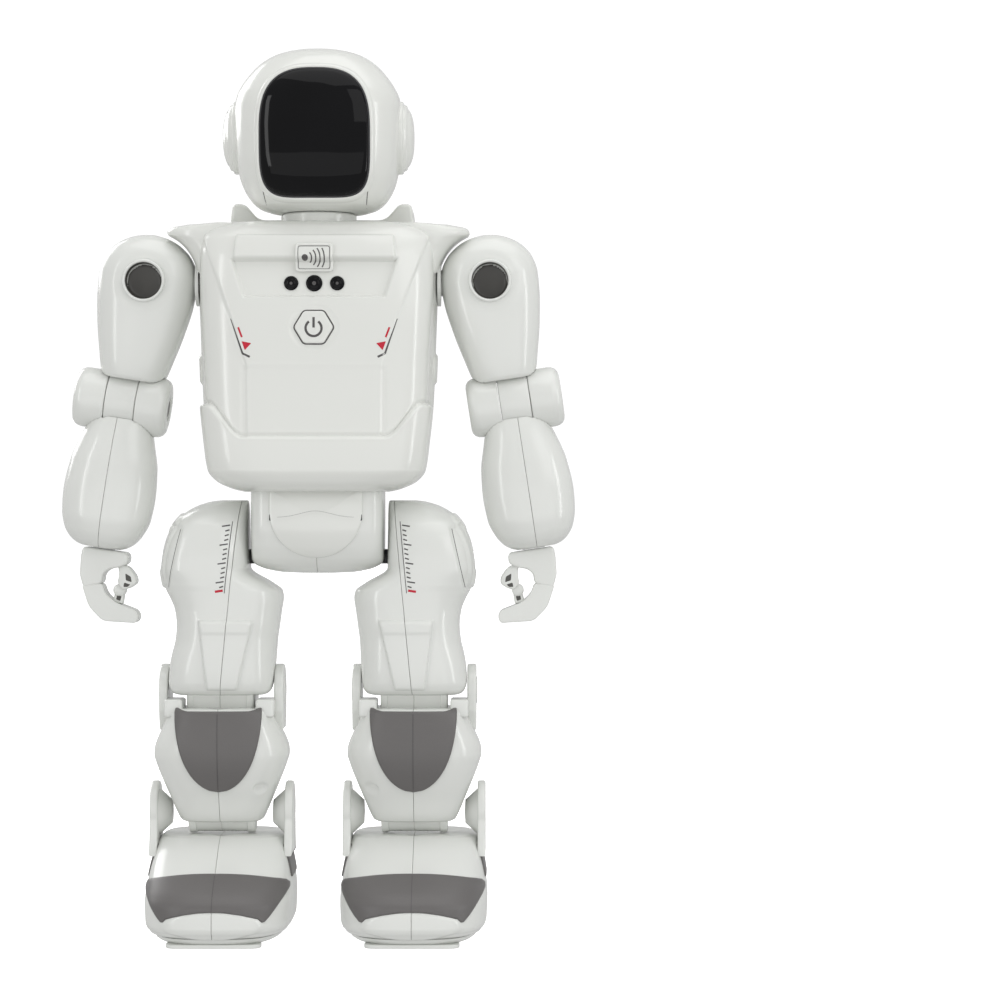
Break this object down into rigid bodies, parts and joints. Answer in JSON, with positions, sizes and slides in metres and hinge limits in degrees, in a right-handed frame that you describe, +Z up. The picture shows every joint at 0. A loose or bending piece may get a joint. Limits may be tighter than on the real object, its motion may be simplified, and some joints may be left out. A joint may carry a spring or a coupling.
{
  "type": "walking humanoid robot",
  "caption": "Humanoid walking toy robot with a domed helmet and dark visor, posable arms with gripping hands, and shoe-shaped feet on hidden wheels.",
  "frame": {"origin": "on the floor between the feet, at the centre of the bounding box", "axes": "+Z up, the robot faces -Y, +X is its left side"},
  "size_m": [0.2094, 0.1008, 0.3635],
  "materials": {
    "white_shell": "satin moulded",
    "grey_trim": "satin moulded",
    "black_gloss": "polished",
    "inner_dark": "moulded",
    "board_green": "printed circuit board",
    "screw_steel": "zinc plated",
    "wheel_rubber": "matt"
  },
  "bodies": {
    "torso": {"torso_front_shell": "white_shell", "torso_back_shell": "white_shell", "gesture_badge": "grey_trim", "sensor_lenses": "black_gloss", "main_board": "board_green", "backpack_shell": "white_shell", "battery_door": "white_shell", "battery_pack": "inner_dark", "speaker": "inner_dark", "body_screws": "screw_steel", "left_pelvis_shell": "white_shell", "right_pelvis_shell": "white_shell", "pelvis_front_cover": "white_shell", "walk_gearbox": "inner_dark", "neck_post": "grey_trim"},
    "power_button": {"power_button": "white_shell"},
    "power_switch": {"power_switch": "grey_trim"},
    "head": {"head_front_shell": "white_shell", "head_back_shell": "white_shell", "visor": "black_gloss", "ear_pods": "white_shell", "eye_board": "board_green"},
    "left_shoulder": {"left_shoulder_hub": "white_shell"},
    "left_upper_arm": {"left_upper_arm_front_shell": "white_shell", "left_upper_arm_back_shell": "white_shell", "left_shoulder_socket": "grey_trim", "left_elbow_knuckle": "white_shell"},
    "left_forearm": {"left_forearm_outer_shell": "white_shell", "left_forearm_inner_shell": "white_shell"},
    "left_hand": {"left_hand": "white_shell"},
    "left_thigh": {"left_thigh_outer_shell": "white_shell", "left_thigh_inner_shell": "white_shell"},
    "left_shin": {"left_shin_outer_shell": "white_shell", "left_shin_inner_shell": "white_shell", "left_knee_pad": "grey_trim"},
    "left_foot": {"left_foot_outer_shell": "white_shell", "left_foot_inner_shell": "white_shell", "left_toe_band": "grey_trim", "left_foot_sole": "grey_trim"},
    "left_wheels": {"left_drive_wheels": "wheel_rubber"},
    "right_shoulder": {"right_shoulder_hub": "white_shell"},
    "right_upper_arm": {"right_upper_arm_front_shell": "white_shell", "right_upper_arm_back_shell": "white_shell", "right_shoulder_socket": "grey_trim", "right_elbow_knuckle": "white_shell"},
    "right_forearm": {"right_forearm_outer_shell": "white_shell", "right_forearm_inner_shell": "white_shell"},
    "right_hand": {"right_hand": "white_shell"},
    "right_thigh": {"right_thigh_outer_shell": "white_shell", "right_thigh_inner_shell": "white_shell"},
    "right_shin": {"right_shin_outer_shell": "white_shell", "right_shin_inner_shell": "white_shell", "right_knee_pad": "grey_trim"},
    "right_foot": {"right_foot_outer_shell": "white_shell", "right_foot_inner_shell": "white_shell", "right_toe_band": "grey_trim", "right_foot_sole": "grey_trim"},
    "right_wheels": {"right_drive_wheels": "wheel_rubber"}
  },
  "joints": [
    {"name": "head_turn", "type": "hinge", "parent": "torso", "child": "head", "pos_m": [0, 0, 0.296], "axis": [0, 0, 1], "range_deg": [-60, 60]},
    {"name": "power_button_press", "type": "slide", "parent": "torso", "child": "power_button", "axis": [0, 1, 0], "range_m": [0, 0.0012], "stiffness_N_per_m": 400},
    {"name": "power_switch_slide", "type": "slide", "parent": "torso", "child": "power_switch", "axis": [0, 0, 1], "range_m": [0, 0.003]},
    {"name": "left_shoulder_swing", "type": "hinge", "parent": "torso", "child": "left_shoulder", "pos_m": [0.049, 0, 0.2675], "axis": [-1, 0, 0], "range_deg": [-45, 90]},
    {"name": "left_shoulder_raise", "type": "hinge", "parent": "left_shoulder", "child": "left_upper_arm", "pos_m": [0.0705, 0, 0.2675], "axis": [0, -1, 0], "range_deg": [0, 80]},
    {"name": "left_elbow", "type": "hinge", "parent": "left_upper_arm", "child": "left_forearm", "pos_m": [0.08074, 0, 0.21848], "axis": [-0.9888, 0, -0.1495], "range_deg": [0, 65]},
    {"name": "left_wrist_turn", "type": "hinge", "parent": "left_forearm", "child": "left_hand", "pos_m": [0.08843, 0, 0.15896], "axis": [-0.1495, 0, 0.9888], "range_deg": [-90, 90]},
    {"name": "left_hip", "type": "hinge", "parent": "torso", "child": "left_thigh", "pos_m": [0.0288, 0, 0.155], "axis": [-1, 0, 0], "range_deg": [-18, 18]},
    {"name": "left_knee", "type": "hinge", "parent": "left_thigh", "child": "left_shin", "pos_m": [0.0395, 0, 0.099], "axis": [1, 0, 0], "range_deg": [0, 40]},
    {"name": "left_ankle", "type": "hinge", "parent": "left_shin", "child": "left_foot", "pos_m": [0.0395, 0, 0.05], "axis": [-1, 0, 0], "range_deg": [-18, 18]},
    {"name": "left_wheel_roll", "type": "hinge", "parent": "left_foot", "child": "left_wheels", "pos_m": [0.0395, 0.02, 0.009], "axis": [1, 0, 0], "continuous": true},
    {"name": "right_shoulder_swing", "type": "hinge", "parent": "torso", "child": "right_shoulder", "pos_m": [-0.049, 0, 0.2675], "axis": [-1, 0, 0], "range_deg": [-45, 90]},
    {"name": "right_shoulder_raise", "type": "hinge", "parent": "right_shoulder", "child": "right_upper_arm", "pos_m": [-0.0705, 0, 0.2675], "axis": [0, 1, 0], "range_deg": [0, 80]},
    {"name": "right_elbow", "type": "hinge", "parent": "right_upper_arm", "child": "right_forearm", "pos_m": [-0.08074, 0, 0.21848], "axis": [-0.9888, 0, 0.1495], "range_deg": [0, 65]},
    {"name": "right_wrist_turn", "type": "hinge", "parent": "right_forearm", "child": "right_hand", "pos_m": [-0.08843, 0, 0.15896], "axis": [0.1495, 0, 0.9888], "range_deg": [-90, 90]},
    {"name": "right_hip", "type": "hinge", "parent": "torso", "child": "right_thigh", "pos_m": [-0.0288, 0, 0.155], "axis": [-1, 0, 0], "range_deg": [-18, 18]},
    {"name": "right_knee", "type": "hinge", "parent": "right_thigh", "child": "right_shin", "pos_m": [-0.0395, 0, 0.099], "axis": [1, 0, 0], "range_deg": [0, 40]},
    {"name": "right_ankle", "type": "hinge", "parent": "right_shin", "child": "right_foot", "pos_m": [-0.0395, 0, 0.05], "axis": [-1, 0, 0], "range_deg": [-18, 18]},
    {"name": "right_wheel_roll", "type": "hinge", "parent": "right_foot", "child": "right_wheels", "pos_m": [-0.0395, 0.02, 0.009], "axis": [1, 0, 0], "continuous": true}
  ],
  "couplings": [
    {"joint": "left_hip", "follows": "right_hip", "ratio": -1},
    {"joint": "right_ankle", "follows": "right_hip", "ratio": -1},
    {"joint": "left_ankle", "follows": "right_hip", "ratio": 1}
  ]
}
